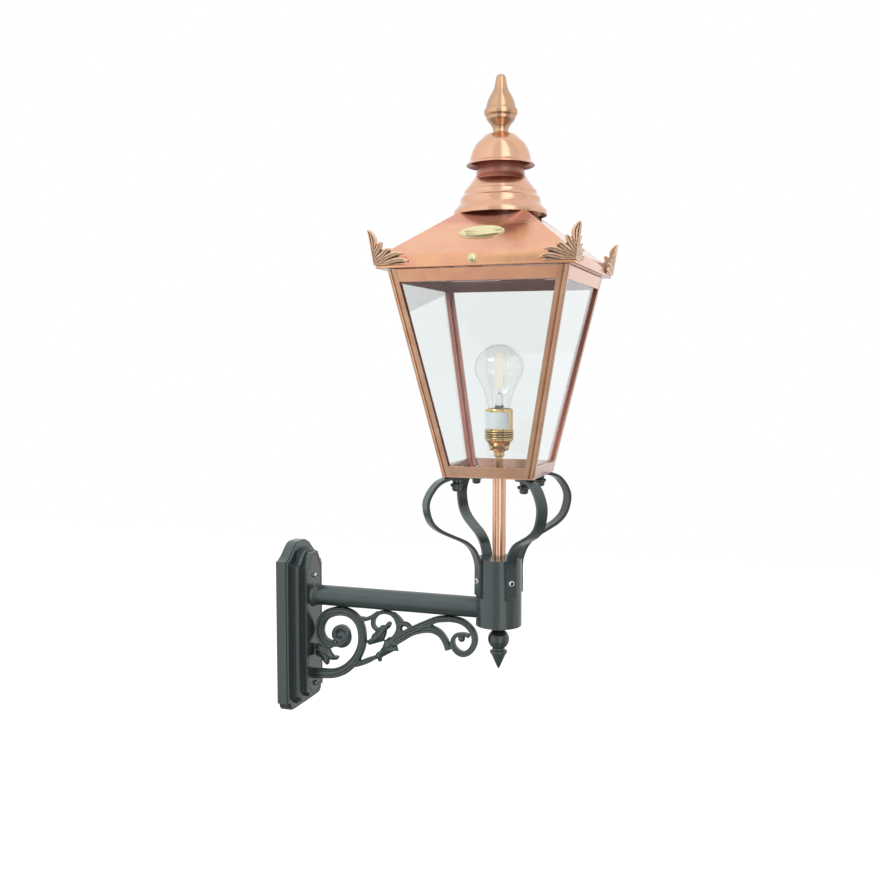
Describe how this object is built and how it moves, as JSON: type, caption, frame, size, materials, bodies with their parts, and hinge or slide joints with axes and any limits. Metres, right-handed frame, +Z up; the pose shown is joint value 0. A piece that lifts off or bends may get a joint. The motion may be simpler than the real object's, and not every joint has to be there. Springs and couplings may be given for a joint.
{
  "type": "outdoor wall light",
  "caption": "Square tapered copper lantern with a hinged pyramid roof and vented chimney, carried by straps on a scrolled cast wall bracket.",
  "frame": {"origin": "on the wall plane, midway between the two wall screws of the mounting bar", "axes": "+Z up; +X out from the wall along the arm; +Y to the hinged rear side of the roof, with the badge and roof screw on the -Y side"},
  "size_m": [0.4119, 0.2498, 0.8056],
  "materials": {
    "painted_casting": "dark green-grey satin powder coat on castings, tube and straps",
    "copper_sheet": "bright lacquered copper sheet, folded and spun, with faint rolling lines",
    "cast_copper": "lacquered cast copper with darker hollows",
    "brass": "bright brass",
    "steel": "bright zinc-plated steel",
    "pane_glass": "clear flat glass",
    "bulb_glass": "clear blown glass",
    "filament": "slim pale amber filament sticks",
    "white_plastic": "white moulded plastic",
    "cable_sheath": "black cable sheath"
  },
  "bodies": {
    "bracket_and_lantern": {"wall_plate": "painted_casting", "mounting_bar": "steel", "plate_screws": "steel", "terminal_block": "white_plastic", "arm_tube": "painted_casting", "scroll_bracket": "painted_casting", "hub": "painted_casting", "hub_pendant": "painted_casting", "strap_1": "painted_casting", "strap_2": "painted_casting", "strap_3": "painted_casting", "strap_4": "painted_casting", "strap_screws": "steel", "thumb_nuts": "painted_casting", "base_studs": "steel", "riser_tube": "copper_sheet", "base_tray": "copper_sheet", "top_rail_1": "copper_sheet", "top_rail_2": "copper_sheet", "top_rail_3": "copper_sheet", "top_rail_4": "copper_sheet", "corner_post_1": "copper_sheet", "corner_post_2": "copper_sheet", "corner_post_3": "copper_sheet", "corner_post_4": "copper_sheet", "glass_pane_1": "pane_glass", "glass_pane_2": "pane_glass", "glass_pane_3": "pane_glass", "glass_pane_4": "pane_glass", "roof_catch": "copper_sheet", "hinge_fixed_leaf": "brass", "hinge_pin": "brass", "holder_base": "brass", "holder_shell": "brass", "holder_ring": "brass", "holder_insulator": "white_plastic", "holder_nipple": "brass", "holder_label": "white_plastic", "bulb_glass": "bulb_glass", "bulb_stem": "bulb_glass", "bulb_filament": "filament", "bulb_cap": "brass", "supply_cable": "cable_sheath"},
    "roof_unit": {"roof": "copper_sheet", "corner_leaf_1": "cast_copper", "corner_leaf_2": "cast_copper", "corner_leaf_3": "cast_copper", "corner_leaf_4": "cast_copper", "badge": "brass", "badge_pins": "brass", "roof_screw": "brass", "hinge_roof_leaf": "brass", "roof_crossbar": "steel", "finial_rod": "steel", "vent_skirt": "copper_sheet", "dome_spider": "steel", "dome_cap": "copper_sheet", "finial": "copper_sheet"}
  },
  "joints": [
    {"name": "roof_hinge", "type": "hinge", "parent": "bracket_and_lantern", "child": "roof_unit", "pos_m": [0.287, 0.1205, 0.4603], "axis": [-1, 0, 0], "range_deg": [0, 100]}
  ]
}
